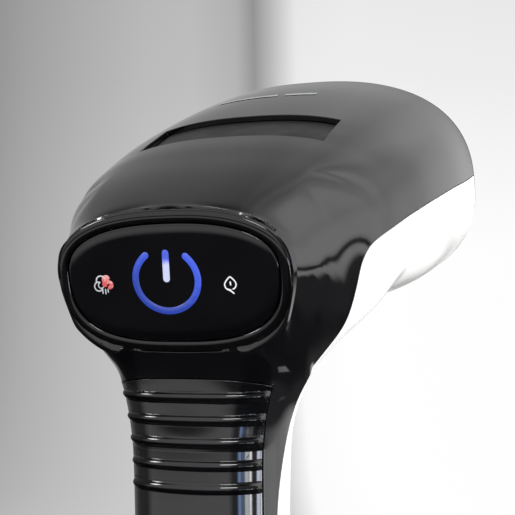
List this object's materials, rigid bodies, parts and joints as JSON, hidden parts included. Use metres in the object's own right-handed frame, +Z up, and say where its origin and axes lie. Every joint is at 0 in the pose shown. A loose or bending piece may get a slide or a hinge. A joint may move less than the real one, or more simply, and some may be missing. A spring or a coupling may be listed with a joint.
{
  "type": "handheld garment steamer",
  "caption": "Upright handheld garment steamer: touch panel at the back of a drooping head, steam plate in front, ribbed grip, clip-on water tank as foot.",
  "frame": {"origin": "middle of the foot, on the underside of the rubber foot pad", "axes": "+Z up the handle, +Y the way the steam leaves, +X to the right of someone who looks at the touch panel"},
  "size_m": [0.1098, 0.1389, 0.2652],
  "materials": {
    "black_gloss": "high gloss",
    "black_satin": "satin",
    "white_gloss": "gloss",
    "lens_black": "polished, backlit symbols",
    "clear_plastic": "clear",
    "smoked_plastic": "clear, smoked",
    "grey_plastic": "moulded",
    "black_rubber": "matt",
    "red_silicone": "matt",
    "cast_aluminium": "cast and machined",
    "steel": "bright",
    "brass": "turned",
    "board_green": "circuit board",
    "ceramic_white": "glazed ceramic"
  },
  "bodies": {
    "body": {"rear_shell": "black_gloss", "front_shell": "white_gloss", "grip_cover": "black_gloss", "front_collar": "black_satin", "panel_bezel": "black_satin", "touch_lens": "lens_black", "touch_board": "board_green", "power_guide": "clear_plastic", "power_bar_guide": "clear_plastic", "steam_guide": "clear_plastic", "dry_guide": "clear_plastic", "power_lamp": "ceramic_white", "steam_lamp": "ceramic_white", "dry_lamp": "ceramic_white", "steam_plate": "cast_aluminium", "plate_gasket": "red_silicone", "steam_chamber": "cast_aluminium", "steam_pipe": "steel", "boiler": "cast_aluminium", "boiler_lid": "steel", "heating_element": "steel", "thermostat": "ceramic_white", "thermal_fuse": "ceramic_white", "boiler_saddle": "grey_plastic", "bar_carrier": "grey_plastic", "release_spring": "steel", "trigger_pin": "steel", "trigger_rest": "grey_plastic", "trigger_spring": "steel", "microswitch": "black_satin", "handle_frame": "grey_plastic", "main_board": "board_green", "relay": "black_satin", "pump": "grey_plastic", "pump_clamp": "black_satin", "check_valve": "brass", "water_hose": "red_silicone", "cover_screw": "steel", "tank_dock": "grey_plastic", "dock_socket": "brass", "dock_seal": "red_silicone", "latch_spring": "steel", "latch_rest": "grey_plastic", "cord_gland": "black_rubber"},
    "tank": {"water_tank": "smoked_plastic", "tank_lid": "grey_plastic", "tank_valve": "white_gloss", "pickup_tube": "clear_plastic", "pickup_filter": "grey_plastic", "foot_pad": "black_rubber"},
    "trigger": {"steam_trigger": "black_satin"},
    "bar": {"release_bar": "black_satin"},
    "latch": {"tank_latch": "black_satin"},
    "cap": {"fill_cap": "black_rubber"}
  },
  "joints": [
    {"name": "tank_release", "type": "slide", "parent": "body", "child": "tank", "axis": [0, 0, -1], "range_m": [0, 0.06]},
    {"name": "fill_cap_hinge", "type": "hinge", "parent": "tank", "child": "cap", "pos_m": [0, 0.0495, 0.024], "axis": [-1, 0, 0], "range_deg": [0, 100]},
    {"name": "trigger_pull", "type": "hinge", "parent": "body", "child": "trigger", "pos_m": [0, -0.0176, 0.147], "axis": [-1, 0, 0], "range_deg": [0, 6], "stiffness_Nm_per_rad": 0.6, "springref_deg": -9.74, "deforming": ["trigger_spring"]},
    {"name": "bar_press", "type": "slide", "parent": "body", "child": "bar", "axis": [0, 0.2164, -0.9763], "range_m": [0, 0.0018], "stiffness_N_per_m": 600, "springref_m": -0.002, "deforming": ["release_spring"]},
    {"name": "latch_press", "type": "slide", "parent": "body", "child": "latch", "axis": [0, -1, 0], "range_m": [0, 0.003], "stiffness_N_per_m": 500, "springref_m": -0.002, "deforming": ["latch_spring"]}
  ]
}
